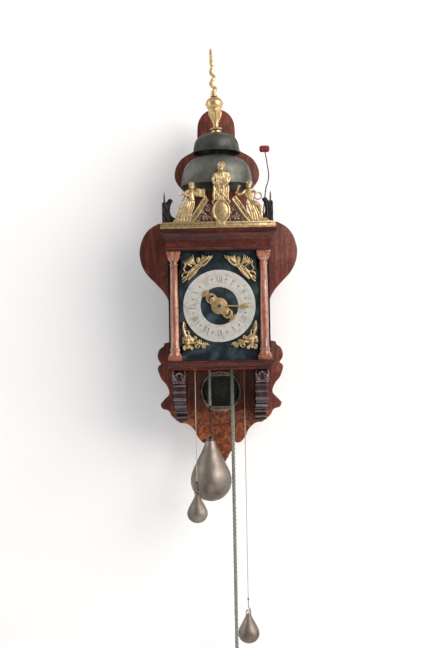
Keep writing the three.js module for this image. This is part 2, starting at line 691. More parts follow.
// Side frets: a pierced plate along each side of the case top, with a serrated leaf across its front
const fretOut = 6.8;
const fretWide = 32;
const fretOuter = cornice.halfWidth + fretOut;
const fret = { inner: fretOuter - fretWide, outer: fretOuter, high: 75.3, thick: 5, rear: -96, front: -206 };
const leafShares = [
  [[0.28, 0], [0.97, 0]],
  [[0.97, 0], [1, 0.2], [0.94, 0.26]],
  [[0.94, 0.26], [1.02, 0.44], [0.92, 0.5]],
  [[0.92, 0.5], [0.98, 0.68], [0.89, 0.74]],
  [[0.89, 0.74], [0.87, 0.89], [0.81, 1]],
  [[0.81, 1], [0.73, 0.88], [0.6, 0.84], [0.47, 0.88], [0.37, 0.9]],
  [[0.37, 0.9], [0.26, 0.76], [0.3, 0.62], [0.22, 0.49], [0.06, 0.37], [0, 0.33]],
  [[0, 0.33], [0, 0.23]],
  [[0, 0.23], [0.18, 0.12], [0.28, 0]],
];
const fretSideShares = [
  [[0, 0], [0, 0.1]],
  [[0, 0.1], [0.16, 0.3], [0.3, 0.34], [0.42, 0.28]],
  [[0.42, 0.28], [0.52, 0.62], [0.66, 0.66], [0.76, 0.5]],
  [[0.76, 0.5], [0.86, 0.72], [1, 0.7]],
  [[1, 0.7], [1, 0]],
];
const fretEyeShares = [[0.2, 0.16, 0.03], [0.36, 0.15, 0.03], [0.59, 0.38, 0.07], [0.73, 0.24, 0.03],
  [0.88, 0.42, 0.05]];

function sideFret() {
  const low = caseTop + gap;
  const leafPlace = ([x, z]) => new THREE.Vector2(fret.inner + x * (fret.outer - fret.inner),
    low + z * fret.high);
  const leaf = plate(new THREE.Shape(traced(leafShares, leafPlace)), fret.thick, fret.front + fret.thick);
  const length = fret.rear - fret.front;
  const sidePlace = ([y, z]) => new THREE.Vector2(fret.rear - y * length, low + z * fret.high);
  const outline = new THREE.Shape(traced(fretSideShares, sidePlace));
  for (const [y, z, r] of fretEyeShares) {
    const eye = sidePlace([y, z]);
    outline.holes.push(new THREE.Path(polygon(r * length, 6, eye.x, eye.y).getPoints()));
  }
  return join(leaf, sidePlate(outline, fret.thick, fret.outer - fret.thick - overrun));
}
node("side_fret_left", mirrored(sideFret()), darkWood);
node("side_fret_right", sideFret(), darkWood);

// Movement frame: base and top plates of iron, four turned pillars, three upright brass plates
const frameRoom = { low: 9, top: 6.9 };
const alarmRadius = 10;
const alarmOut = -lines.alarm[0] - alarmRadius;
const frameRim = { upright: 7, plate: 18 };
const frame = {
  halfWidth: alarmOut + frameRim.plate, front: -183, back: -93,
  low: frameRoom.low, high: caseHeight - frameRoom.top,
  thick: 3, pillar: 3.4, foot: 5,
};
const upright = { front: -181.5, middle: -126, back: -96, thick: 2.5, halfWidth: alarmOut + frameRim.upright };
const arborRadius = 1.6;
const pivotRoom = 0.4;

function basePlate() {
  const slab = block(-frame.halfWidth, frame.halfWidth, frame.front, frame.back, frame.low,
    frame.low + frame.thick);
  const feet = pillarPlaces.map(([x, y]) => moved(discZ(frame.foot, gap, frame.low + overrun, 8), x, y, 0));
  const pillars = pillarPlaces.map(([x, y]) => moved(pillar(), x, y, 0));
  return cut(join(slab, ...feet, ...pillars), ...lineHoles(frame.low, frame.low + frame.thick));
}

function pillar() {
  const low = frame.low + frame.thick - overrun;
  const high = frame.high - frame.thick - gap;
  const r = frame.pillar;
  const [span, knob] = [high - low, r * 1.45];
  return turned([[0, low], [knob, low], [knob, low + r], [r, low + 2 * r], [r * 0.8, low + span / 2],
    [r, high - 2 * r], [knob, high - r], [knob, high], [0, high]], 6);
}
const pillarRows = [frame.front + frame.foot, frame.back - frame.foot];
const pillarPlaces = [-1, 1].flatMap((side) => pillarRows.map((y) => {
  return [side * (frame.halfWidth - frame.foot), y];
}));
node("movement_base_plate", basePlate(), steel);

const greatArbor = 2.6;

// Arbor places [x, z] in the train, from the wheel counts and the tooth size
const teeth = { great: 50, second: 40, contrate: 40, pinion: 5, escape: 15, strike: 40, warning: 30 };
const toothSize = { great: 1.308, second: 1.32, contrate: 1.08, strike: 1.2, warning: 1.08 };
const centreOf = (wheel, pinion, size) => ((wheel + pinion) / 2) * size;
const greatDrop = 45.9;
const contrateRise = 16.1;
const great = [0, dialCentre - greatDrop];
const contrate = [0, dialCentre + contrateRise];
const reachGreat = centreOf(teeth.great, teeth.pinion, toothSize.great);
const reachSecond = centreOf(teeth.second, teeth.pinion, toothSize.second);
const rise = contrate[1] - great[1];
const along = (reachGreat ** 2 - reachSecond ** 2 + rise ** 2) / (2 * rise);
const second = [-Math.sqrt(reachGreat ** 2 - along ** 2), great[1] + along];
const drumRadius = 18;
const strike = [lines.strike[0] - drumRadius, great[1]];
const stepped = ([x, z], reach, degrees) => {
  const angle = (degrees * Math.PI) / 180;
  return [x + reach * Math.cos(angle), z + reach * Math.sin(angle)];
};
const warning = stepped(strike, centreOf(teeth.strike, teeth.pinion, toothSize.strike), 107);
const fly = stepped(warning, centreOf(teeth.warning, teeth.pinion, toothSize.warning), 115);
const alarmRise = 21;
const alarm = [lines.alarm[0] + alarmRadius, frame.low + alarmRise];

function uprightPlate(name, y, arbors, fixed = []) {
  const low = frame.low + frame.thick + gap;
  const high = frame.high - frame.thick - gap;
  const half = upright.halfWidth;
  const outline = new THREE.Shape();
  outline.moveTo(-half, low).lineTo(half, low).lineTo(half, high - half / 3);
  outline.quadraticCurveTo(half, high, half * 0.66, high).lineTo(-half * 0.66, high);
  outline.quadraticCurveTo(-half, high, -half, high - half / 3).closePath();
  for (const [[x, z], radius] of arbors) {
    outline.holes.push(new THREE.Path(polygon(radius + pivotRoom, 8, x, z).getPoints()));
  }
  node(name, join(plate(outline, upright.thick, y + upright.thick), ...fixed), brass);
}
const crownRise = { foot: 12, low: 6, valley: 11, high: 16 };
const escape = {
  y: -156.6, radius: 14.4, wall: 1.6, foot: contrate[1] + crownRise.foot,
  low: frame.high + crownRise.low, valley: frame.high + crownRise.valley, high: frame.high + crownRise.high,
};
const footstep = { halfWidth: 4, thick: 3.5, drop: 0.6 };

// The footstep that carries the lower pivot of the upright arbor
function potence() {
  const top = escape.foot + arborRadius;
  const { halfWidth, thick } = footstep;
  const arm = block(-halfWidth, halfWidth, upright.front + overrun, escape.y + halfWidth, top - thick, top);
  return cut(arm, moved(discZ(arborRadius + pivotRoom, escape.foot - gap, top + overrun, 10), 0,
    escape.y, 0));
}
const pipe = { stud: 2.2, cannonOut: 3.9, hourIn: 4.3, hourOut: 6.2, studFront: -209.5 };
const handStud = moved(discY(pipe.stud, pipe.studFront, upright.front + upright.thick, 12), 0, 0,
  dialCentre);
const goingPivots = [[great, greatArbor], [second, arborRadius], [contrate, arborRadius]];
const strikePivots = [strike, warning, fly].map((place) => [place, arborRadius]);
uprightPlate("front_plate", upright.front, [...goingPivots, [alarm, arborRadius]], [handStud, potence()]);
uprightPlate("middle_plate", upright.middle, [...goingPivots, ...strikePivots]);
uprightPlate("back_plate", upright.back, strikePivots);

// Top plate with the verge cocks and the two pairs of hammer cocks standing on it
const cock = { width: 9, thick: 3 };
const hammerRise = 30;
const hammerOffset = 1.5;
const hammerAxis = {
  z: frame.high + hammerRise, hour: slots.hour, half: slots.half - hammerOffset, reach: 11, radius: 1.6,
};
const vergeSpan = { front: -181, back: -64, radius: 1.5, cockFront: -179, cockBack: -100 };

function standingCock(x, y, axisHeight, radius) {
  const half = cock.width / 2;
  const body = block(x - half, x + half, y, y + cock.thick, frame.high - frame.thick, axisHeight + half);
  const bar = block(Math.min(x - half, 0), Math.max(x + half, 0), y, y + cock.thick,
    frame.high - frame.thick,
    frame.high + frame.thick);
  const hole = moved(discY(radius + pivotRoom, y - overrun, y + cock.thick + overrun, 8), x, 0, axisHeight);
  return [join(body, bar), hole];
}

function topPlate() {
  const slab = block(-frame.halfWidth, frame.halfWidth, frame.front, frame.back,
    frame.high - frame.thick, frame.high);
  const sides = [bellPost.y - hammerAxis.reach, bellPost.y + hammerAxis.reach - cock.thick];
  const cocks = [
    standingCock(0, vergeSpan.cockFront, beatHeight, vergeSpan.radius),
    standingCock(0, vergeSpan.cockBack, beatHeight, vergeSpan.radius),
    ...sides.map((y) => standingCock(hammerAxis.hour, y, hammerAxis.z, hammerAxis.radius)),
    ...sides.map((y) => standingCock(hammerAxis.half, y, hammerAxis.z, hammerAxis.radius)),
  ];
  const room = cut(join(slab, ...cocks.map(([body]) => body)), ...cocks.map(([, hole]) => hole));
  const crownRoom = discZ(escape.radius + overrun, frame.high, frame.high + 2 * frame.thick, 12);
  const pivotHole = discZ(arborRadius + pivotRoom, frame.high - 2 * frame.thick, frame.high + overrun, 8);
  return cut(room, moved(crownRoom, 0, escape.y, 0), moved(pivotHole, 0, escape.y, 0));
}
node("movement_top_plate", topPlate(), steel);

// Wheels with pointed teeth and crossings, and leaf pinions; a tip stands at the phase angle
const tooth = { wheelTop: 0.9, wheelRoot: 1, leafTop: 0.5, leafRoot: 1.5 };
const wheelThick = 2.4;
const rimShare = 1.9;

function toothed(count, size, phase, above, below) {
  const radius = (count * size) / 2;
  const step = (2 * Math.PI) / count;
  const at = (r, angle) => new THREE.Vector2(r * Math.cos(angle), r * Math.sin(angle));
  return new THREE.Shape(Array.from({ length: count }, (_, i) => [
    at(radius - below * size, phase + (i - 1 / 2) * step),
    at(radius + above * size, phase + i * step),
  ]).flat());
}

function wheelAt(count, size, y, spokes = 4, phase = 0, thick = wheelThick) {
  const shape = toothed(count, size, phase, tooth.wheelTop, tooth.wheelRoot);
  const rim = (count * size) / 2 - (tooth.wheelRoot + rimShare) * size;
  const hub = arborRadius * 3;
  for (let i = 0; i < spokes; i++) shape.holes.push(new THREE.Path(crossing(rim, hub, i, spokes)));
  return plate(shape, thick, y);
}

function crossing(rim, hub, i, spokes) {
  const [start, end] = [i, i + 1].map((k) => (2 * Math.PI * k) / spokes);
  const arc = (r, shares) => shares.map((share) => {
    const side = Math.asin(arborRadius / r);
    const angle = start + side + share * (end - start - 2 * side);
    return new THREE.Vector2(r * Math.cos(angle), r * Math.sin(angle));
  });
  return [...arc(rim, [0, 1 / 3, 2 / 3, 1]), ...arc(hub, [1, 0])];
}

function leafPinion(count, size, y0, y1, phase = 0) {
  return plate(toothed(count, size, phase, tooth.leafTop, tooth.leafRoot), y1 - y0, y1);
}

// A ring of pointed teeth standing up from low: valleys at one height, tips at another
function crownOfTeeth(count, outer, inner, low, valley, high) {
  const [points, index] = [[], []];
  for (let i = 0; i < count * 2; i++) {
    const angle = Math.PI / 2 + (Math.PI * (i + 1)) / count;
    for (const r of [outer, inner]) {
      for (const z of [low, i % 2 ? valley : high]) {
        points.push(new THREE.Vector3(r * Math.cos(angle), r * Math.sin(angle), z));
      }
    }
  }
  for (let i = 0; i < count * 2; i++) {
    const [a, b] = [i * 4, ((i + 1) % (count * 2)) * 4];
    for (const [p, q] of [[0, 1], [1, 3], [3, 2], [2, 0]]) index.push(a + p, b + p, b + q, a + p, b + q,
      a + q);
  }
  const geometry = new THREE.BufferGeometry().setFromPoints(points);
  geometry.setIndex(index);
  return geometry;
}

// The phase that puts a leaf of the pinion between two teeth of the wheel at the line of centres
function meshPhase(from, to, count) {
  const line = Math.atan2(to[1] - from[1], to[0] - from[0]);
  const step = (2 * Math.PI) / count;
  return line + step / 2;
}
const facing = (from, to) => Math.atan2(from[1] - to[1], from[0] - to[0]);

// Depths of the trains
const depth = {
  greatWheel: -154, secondWheel: -166, contrateWheel: -146, strikeWheel: -114.5, warningWheel: -119.5,
  drive: -186, hourDrive: -190.5,
};
const pinionLong = 9;
const pivotOut = 1;

// Going great wheel: arbor, rope pulley with a grooved rim, wheel, and the two drives for the hands
const hands = { driver: 24, cannon: 8, hourPinion: 6, hourWheel: 24 };
const handReach = greatDrop;
const minuteSize = (2 * handReach) / (hands.driver + hands.cannon);
const hourSize = (2 * handReach) / (hands.hourPinion + hands.hourWheel);
const pulley = { half: 7, cheek: 28, groove: pulleyRadius - ropeRadius - gap, frontEnd: 5 };

function greatWheel() {
  const [front, back] = [depth.hourDrive - pulley.frontEnd, upright.middle + upright.thick + pivotOut];
  const arbor = discY(greatArbor, front, back, 10);
  const y = lines.drive[1];
  const sheave = turnedY([[0, y - pulley.half], [pulley.cheek, y - pulley.half],
    [pulley.groove, y - pulley.half / 2],
    [pulley.groove, y + pulley.half / 2], [pulley.cheek, y + pulley.half], [0, y + pulley.half]], 14);
  const phase = meshPhase(great, second, teeth.great);
  const main = wheelAt(teeth.great, toothSize.great, depth.greatWheel, 4, phase);
  const upward = Math.PI / 2;
  const driver = wheelAt(hands.driver, minuteSize, depth.drive, 4, upward + Math.PI / hands.driver);
  const small = leafPinion(hands.hourPinion, hourSize, depth.hourDrive - wheelThick * 1.2,
    depth.hourDrive, upward);
  return moved(join(arbor, sheave, main, driver, small), great[0], 0, great[1]);
}
node("going_great_wheel", greatWheel(), brass);

function secondWheel() {
  const arbor = discY(arborRadius, upright.front - pivotOut, upright.middle + upright.thick + pivotOut, 6);
  const size = toothSize.great;
  const y = depth.greatWheel - wheelThick / 2;
  const pinion = leafPinion(teeth.pinion, size, y - pinionLong / 2, y + pinionLong / 2,
    facing(great, second));
  const wheel = wheelAt(teeth.second, toothSize.second, depth.secondWheel, 4,
    meshPhase(second, contrate, teeth.second));
  return moved(join(arbor, wheel, pinion), second[0], 0, second[1]);
}
node("second_wheel", secondWheel(), brass);

// Contrate wheel: a cup whose teeth stand forward, into the upright arbor's pinion
const contrateCup = { wall: 1.4, floor: 1.2 };
const contratePitch = escape.y + (teeth.pinion * toothSize.contrate) / 2;

function contrateWheel() {
  const arbor = discY(arborRadius, upright.front - pivotOut, upright.middle + upright.thick + pivotOut, 6);
  const radius = (teeth.contrate * toothSize.contrate) / 2;
  const back = depth.contrateWheel;
  const size = toothSize.contrate;
  const cup = crownOfTeeth(teeth.contrate, radius + contrateCup.wall / 2, radius - contrateCup.wall / 2,
    -back, -contratePitch - tooth.wheelRoot * size,
      -contratePitch + tooth.wheelTop * size).rotateX(Math.PI / 2);
  const y = depth.secondWheel - wheelThick / 2;
  const pinion = leafPinion(teeth.pinion, toothSize.second, y - pinionLong / 2, y + pinionLong / 2,
    facing(second, contrate));
  return moved(join(arbor, cupFloor(radius, back), cup, pinion), contrate[0], 0, contrate[1]);
}

function cupFloor(radius, back) {
  const disc = new THREE.Shape(polygon(radius, 24).getPoints());
  for (let i = 0; i < 4; i++) disc.holes.push(new THREE.Path(crossing(radius * 0.86, arborRadius * 3, i,
    4)));
  return plate(disc, contrateCup.floor, back);
}
node("contrate_wheel", contrateWheel(), brass);

// Crown wheel: a cup of tall teeth on an upright arbor
function crownWheel() {
  const arbor = discZ(arborRadius, escape.foot, escape.low + overrun, 6);
  const middle = contrate[1] + (teeth.contrate * toothSize.contrate) / 2;
  const pinion = leafPinion(teeth.pinion, toothSize.contrate, -pinionLong / 2, pinionLong / 2, -Math.PI / 2)
    .rotateX(Math.PI / 2).translate(0, 0, middle);
  const floor = discZ(escape.radius - escape.wall / 2, escape.low, escape.low + escape.wall, 20);
  const cup = crownOfTeeth(teeth.escape, escape.radius, escape.radius - escape.wall, escape.low,
    escape.valley,
    escape.high);
  return moved(join(arbor, floor, cup, pinion), 0, escape.y, 0);
}
node("crown_wheel", crownWheel(), brass);

// Verge: arbor, two pallets over the crown wheel, and the crutch behind the backboard
const pallet = { long: 5.6, wide: 4, thick: 1, splay: 50 };
const crutch = { drop: 34, pin: 26, wide: 4, thick: 2.4 };

function verge() {
  const arbor = discY(vergeSpan.radius, vergeSpan.front, vergeSpan.back, 10);
  const flags = [-1, 1].map((way) => {
    const y = escape.y + way * (escape.radius - escape.wall);
    const flag = block(-pallet.thick / 2, pallet.thick / 2, y - pallet.wide / 2, y + pallet.wide / 2,
      -pallet.long, 0);
    return spunY(flag, (way * pallet.splay * Math.PI) / 180);
  });
  const arm = block(-crutch.wide / 2, crutch.wide / 2, vergeSpan.back - crutch.thick, vergeSpan.back,
    -crutch.drop,
    crutch.wide / 2);
  const pin = moved(discY(vergeSpan.radius, vergeSpan.back - overrun, vergeSpan.back + crutch.pin, 8), 0, 0,
    crutch.wide / 2 - crutch.drop);
  return moved(join(arbor, ...flags, arm, pin), 0, 0, beatHeight);
}
node("verge_and_crutch", verge(), steel);

// Pendulum: a rod with an eye on its cock, a fork for the crutch, and a lens bob behind the window
const pendulum = { y: -42, rod: 1.6, eye: 3.4, bob: 24, bobThick: 10, nut: 4, fork: 3.4, forkHigh: 16 };
const suspension = { halfWidth: 22, strap: 3, high: 12, stand: 5, pin: 1.5 };

function pendulumRod() {
  const y = pendulum.y;
  const eyeRing = turnedY([[suspension.pin + pivotRoom, y - 2 * pendulum.rod],
    [pendulum.eye, y - 2 * pendulum.rod],
    [pendulum.eye, y + 2 * pendulum.rod], [suspension.pin + pivotRoom, y + 2 * pendulum.rod],
    [suspension.pin + pivotRoom, y - 2 * pendulum.rod]], 10);
  const upper = rodPiece(-pendulum.eye + pivotRoom, crutchPinDrop + pendulum.forkHigh / 2 - overrun);
  const fork = cut(block(-pendulum.fork, pendulum.fork, y - pendulum.rod, y + pendulum.rod,
    crutchPinDrop - pendulum.forkHigh / 2, crutchPinDrop + pendulum.forkHigh / 2),
  block(-vergeSpan.radius - pivotRoom, vergeSpan.radius + pivotRoom, y - pendulum.rod - overrun,
    y + pendulum.rod + overrun, crutchPinDrop - pendulum.forkHigh / 3,
      crutchPinDrop + pendulum.forkHigh / 3));
  const bottom = windowEye.height - beatHeight - pendulum.bob - pendulum.nut * 2;
  const lower = rodPiece(crutchPinDrop - pendulum.forkHigh / 2 + overrun, bottom);
  const nut = moved(discZ(pendulum.nut, -pendulum.nut, 0, 6), 0, y, bottom + pendulum.nut * 1.7);
  return moved(join(eyeRing, upper, fork, lower, nut), 0, 0, beatHeight);
}
const crutchPinDrop = crutch.wide / 2 - crutch.drop;

function rodPiece(high, low) {
  return moved(discZ(pendulum.rod, low, high, 8), 0, pendulum.y, 0);
}

function pendulumBob() {
  const half = pendulum.bobThick / 2;
  const lens = turnedY([[0, -half], [pendulum.bob * 0.6, -half * 0.8], [pendulum.bob * 0.95, -half * 0.25],
    [pendulum.bob, 0], [pendulum.bob * 0.95, half * 0.25], [pendulum.bob * 0.6, half * 0.8], [0, half]],
      16);
  return moved(lens, 0, pendulum.y, windowEye.height);
}
node("pendulum", join(pendulumRod(), pendulumBob()), brass);

function pendulumCock() {
  const y = boardBack + gap;
  const strap = block(-suspension.halfWidth, suspension.halfWidth, y + suspension.stand,
    y + suspension.stand + suspension.strap,
    beatHeight - suspension.high / 2, beatHeight + suspension.high / 2);
  const feet = [-1, 1].map((side) => {
    const [x0, x1] = [side * suspension.halfWidth, side * (suspension.halfWidth - suspension.high / 2)];
    return block(Math.min(x0, x1), Math.max(x0, x1), y, y + suspension.stand + overrun,
      beatHeight - suspension.high / 2, beatHeight + suspension.high / 2);
  });
  const pin = moved(discY(suspension.pin, y + suspension.stand, pendulum.y + suspension.halfWidth / 3, 10),
    0, 0, beatHeight);
  return join(strap, ...feet, pin);
}
node("pendulum_cock", pendulumCock(), steel);

// Hands: each on its own wheel's pipe, on a stud of the front plate, shown at a quarter past ten
const shown = { hour: 52, minute: -91 };
const handPitch = 6;
const handPlane = { hour: -205.2, minute: -208.2, thick: 1.2 };

function pipeY(inner, outer, y0, y1) {
  return turnedY([[inner, y0], [outer, y0], [outer, y1], [inner, y1], [inner, y0]], 10);
}

function cannonPinion() {
  const pinion = leafPinion(hands.cannon, minuteSize, depth.drive - wheelThick, depth.drive, -Math.PI / 2);
  const bore = discY(pipe.stud + pivotRoom, pipe.studFront, upright.front, 10);
  const tube = pipeY(pipe.stud + pivotRoom, pipe.cannonOut, handPlane.minute - handPlane.thick - overrun,
    depth.drive);
  return moved(join(cut(pinion, bore), tube), 0, 0, dialCentre);
}

function hourWheel() {
  const phase = Math.PI / hands.hourWheel - Math.PI / 2;
  const wheel = wheelAt(hands.hourWheel, hourSize, depth.hourDrive, 0, phase);
  const bore = discY(pipe.hourIn, pipe.studFront, upright.front, 10);
  const tube = pipeY(pipe.hourIn, pipe.hourOut, handPlane.hour - handPlane.thick - overrun / 2,
    depth.hourDrive);
  return moved(join(cut(wheel, bore), tube), 0, 0, dialCentre);
}

// The hour hand points up as drawn: a pierced head, a hub disc and a pierced tail
const hourHand = { hub: 17, length: 40, tail: 39, halfWidth: 15 };
const hourHandShares = [
  [[0, 1], [0.12, 0.86], [0.42, 0.78], [0.52, 0.62], [0.3, 0.52], [0.62, 0.46], [0.9, 0.3]],
  [[0.9, 0.3], [1, 0.1], [1, -0.1], [0.9, -0.3]],
  [[0.9, -0.3], [0.5, -0.44], [0.34, -0.52], [0.62, -0.62], [0.66, -0.76], [0.4, -0.9], [0.14, -0.9],
    [0, -1]],
];
const hourPierceShares = [[0.26, 0.68, 0.1], [0.45, 0.36, 0.1], [0.42, -0.35, 0.09], [0.34, -0.7, 0.13]];

function hourHandPlate() {
  const place = ([x, z]) => {
    return new THREE.Vector2(x * hourHand.halfWidth, z * (z > 0 ? hourHand.length : hourHand.tail));
  };
  const outline = symmetric(traced(hourHandShares, place, handPitch));
  outline.holes.push(new THREE.Path(polygon(pipe.hourIn, 10).getPoints()));
  for (const [x, z, r] of hourPierceShares) {
    const eye = place([x, z]);
    for (const side of [-1, 1]) {
      outline.holes.push(new THREE.Path(polygon(r * hourHand.halfWidth * 1.3, 5, side * eye.x,
        eye.y).getPoints()));
    }
  }
  const flat = plate(outline, handPlane.thick, handPlane.hour + handPlane.thick);
  return moved(flat.rotateY((-shown.hour * Math.PI) / 180), 0, 0, dialCentre);
}
node("hour_hand", join(hourHandPlate(), hourWheel()), gilt);

const minuteHand = { length: 62, tail: 16, halfWidth: 6 };
const minuteHandShares = [
  [[0, 1], [0.1, 0.9], [0.22, 0.84], [0.85, 0.74], [0.95, 0.7], [0.3, 0.68], [0.16, 0.62]],
  [[0.16, 0.62], [0.5, 0.58], [0.16, 0.54]],
  [[0.16, 0.54], [0.2, 0.2]],
  [[0.2, 0.2], [0.9, 0.12], [1, 0], [0.9, -0.4]],
  [[0.9, -0.4], [0.2, -0.6]],
  [[0.2, -0.6], [0.34, -0.9], [0, -1]],
];

function minuteHandPlate() {
  const place = ([x, z]) => {
    return new THREE.Vector2(x * minuteHand.halfWidth, z * (z > 0 ? minuteHand.length : minuteHand.tail));
  };
  const outline = symmetric(traced(minuteHandShares, place, handPitch));
  outline.holes.push(new THREE.Path(polygon(pipe.stud + pivotRoom, 10).getPoints()));
  const flat = plate(outline, handPlane.thick, handPlane.minute + handPlane.thick);
  return moved(flat.rotateY((-shown.minute * Math.PI) / 180), 0, 0, dialCentre);
}
node("minute_hand", join(minuteHandPlate(), cannonPinion()), gilt);

// Strike train: drum and lifting pins, warning wheel, and the fly
const liftPin = { count: 8, radius: 1, circle: 21.5, long: 1.8 };
const drum = { half: 6, flange: 20.5 };

function strikeWheel() {
  const arbor = discY(arborRadius, upright.middle - pivotOut, upright.back + upright.thick + pivotOut, 6);
  const wheel = wheelAt(teeth.strike, toothSize.strike, depth.strikeWheel, 4,
    meshPhase(strike, warning, teeth.strike));
  const y = lines.strike[1];
  const barrel = drumRadius - cordRadius - gap;
  const sheave = turnedY([[0, y - drum.half], [drum.flange, y - drum.half], [barrel, y - drum.half / 2],
    [barrel, y + drum.half / 2], [drum.flange, y + drum.half], [0, y + drum.half]], 16);
  const pins = Array.from({ length: liftPin.count }, (_, i) => {
    const angle = (2 * Math.PI * (i + 1 / 2)) / liftPin.count;
    return moved(discY(liftPin.radius, depth.strikeWheel - wheelThick / 2,
      depth.strikeWheel + liftPin.long, 5),
      liftPin.circle * Math.cos(angle), 0, liftPin.circle * Math.sin(angle));
  });
  return moved(join(arbor, wheel, sheave, ...pins), strike[0], 0, strike[1]);
}
node("strike_great_wheel", strikeWheel(), brass);

function warningWheel() {
  const arbor = discY(arborRadius, upright.middle - pivotOut, upright.back + upright.thick + pivotOut, 6);
  const wheel = wheelAt(teeth.warning, toothSize.warning, depth.warningWheel, 3,
    meshPhase(warning, fly, teeth.warning), wheelThick / 2);
  const y = depth.strikeWheel - wheelThick / 2;
  const pinion = leafPinion(teeth.pinion, toothSize.strike, y - pinionLong / 3, y + pinionLong / 2,
    facing(strike, warning));
  return moved(join(arbor, wheel, pinion), warning[0], 0, warning[1]);
}
node("warning_wheel", warningWheel(), brass);

const flyBlade = { half: 13, thick: 0.8, long: 16 };

function flyFan() {
  const arbor = discY(arborRadius, upright.middle - pivotOut, upright.back + upright.thick + pivotOut, 6);
  const y = depth.warningWheel - wheelThick / 4;
  const pinion = leafPinion(teeth.pinion, toothSize.warning, y - pinionLong / 4, y + pinionLong / 3,
    facing(warning, fly));
  const rear = upright.back - pinionLong / 3;
  const blade = block(-flyBlade.half, flyBlade.half, rear - flyBlade.long, rear, -flyBlade.thick,
    flyBlade.thick);
  return moved(join(arbor, blade, pinion), fly[0], 0, fly[1]);
}
node("fly", flyFan(), brass);

function alarmDrum() {
  const y = lines.alarm[1];
  const barrel = alarmRadius - cordRadius - gap;
  const rim = alarmRadius + cordRadius;
  const half = cordRadius * 1.5;
  const front = Math.max(y - half, dialFront + dialThick + gap);
  const sheave = turnedY([[0, front], [rim, front], [barrel, y - half / 3], [barrel, y + half / 3],
    [rim, y + half], [0, y + half]], 14);
  const arbor = discY(arborRadius, y, upright.front + upright.thick + pivotOut, 8);
  return moved(join(sheave, arbor), alarm[0], 0, alarm[1]);
}
node("alarm_drum", alarmDrum(), brass);

// Bells: a wall of even thickness between an outer and an inner dome, standing on a stepped post
const bellProfileShares = [
  [1, 0], [0.96, 0.2], [0.93, 0.44], [0.84, 0.68], [0.66, 0.87], [0.36, 0.975], [0.18, 1],
];
const bellRise = { large: 90, small: 67.3 };
const largeBell = { rim: 73.3, low: caseTop + bellRise.large, high: 63.6, wall: 3.2 };
const smallBell = { rim: 47.9, low: largeBell.low + bellRise.small, high: 40.3, wall: 2.6 };
const bellBore = bellPost.radius + gap;

function bell({ rim, low, high, wall }) {
  const outer = bellProfileShares.map(([r, z]) => [r * rim, low + z * high]);
  const hollow = bellProfileShares.filter((_, i) => i !== 2 && i !== 5);
  const inner = hollow.map(([r, z]) => [r * (rim - wall), low + z * (high - wall)]);
  const profile = [...outer, [bellBore, low + high], [bellBore, low + high - wall], ...inner.reverse(),
    outer[0]];
  return moved(turned(profile, 18), 0, bellPost.y, 0);
}
node("large_bell", bell(largeBell), bronze);
node("small_bell", bell(smallBell), bronze);


// The post stands on the case top; a collar carries each bell
const standard = { flange: 13, flangeThick: 3, collar: 8, collarHigh: 5 };

function bellStandard() {
  const r = bellPost.radius;
  const seat = ({ low, high, wall }) => {
    const z = low + high - wall - gap;
    return [[r, z - standard.collarHigh * 1.6], [standard.collar, z - standard.collarHigh / 2],
      [standard.collar, z], [r, z]];
  };
  const foot = caseTop + gap;
  const top = finial.low + finial.sink;
  return moved(turned([[0, foot], [standard.flange, foot], [standard.flange, foot + standard.flangeThick],
    [r, foot + standard.flangeThick * 2], ...seat(largeBell), ...seat(smallBell), [r, top], [0, top]], 10),
  0, bellPost.y, 0);
}

// Finial: collar and flange, tapering cone, ball, and a spire of two twisted strands with knops
const finialRise = { seat: 0.5, ball: 57.1, tip: 170.8 };
const finialLow = smallBell.low + smallBell.high + finialRise.seat;
const finial = {
  low: finialLow, sink: 10, ball: 17.9, ballAt: finialLow + finialRise.ball, lean: -3,
  tip: finialLow + finialRise.tip,
};
const finialShares = [
  [0.52, 0], [0.52, 0.13], [0.64, 0.16], [0.64, 0.22], [0.33, 0.26], [0.36, 0.42], [0.75, 0.7],
    [0.98, 0.94],
];
const finialBore = bellPost.radius + 4 * gap;
const spireShares = { low: 0.12, high: 0.68, strand: 0.16, offset: 0.17, turns: 2.5, rings: 16, sides: 6 };
const knopShares = [[0.11, 0.7], [0.1, 0.74], [0.2, 0.76], [0.1, 0.79], [0.08, 0.83], [0.15, 0.86],
  [0.07, 0.89]];

function finialTurning() {
  const base = finial.low;
  const bottom = finial.ballAt - finial.ball * 0.9;
  const span = bottom - base;
  const lower = finialShares.map(([r, z]) => [r * finial.ball * 0.78, base + z * span]);
  const globe = Array.from({ length: 6 }, (_, i) => {
    const angle = -Math.PI / 3 + (i / 6.4) * ((5 * Math.PI) / 6);
    return [finial.ball * Math.cos(angle), finial.ballAt + finial.ball * Math.sin(angle)];
  });
  const top = finial.ballAt + finial.ball;
  const collar = [[finial.ball * 0.3, top], [finial.ball * 0.4, top + finial.ball * 0.2],
    [0, top + finial.ball * 0.25]];
  const room = base + finial.sink + 2 * gap;
  const bore = [[0, room], [finialBore, room], [finialBore, base]];
  return turned([...bore, ...lower, ...globe, ...collar], 12);
}

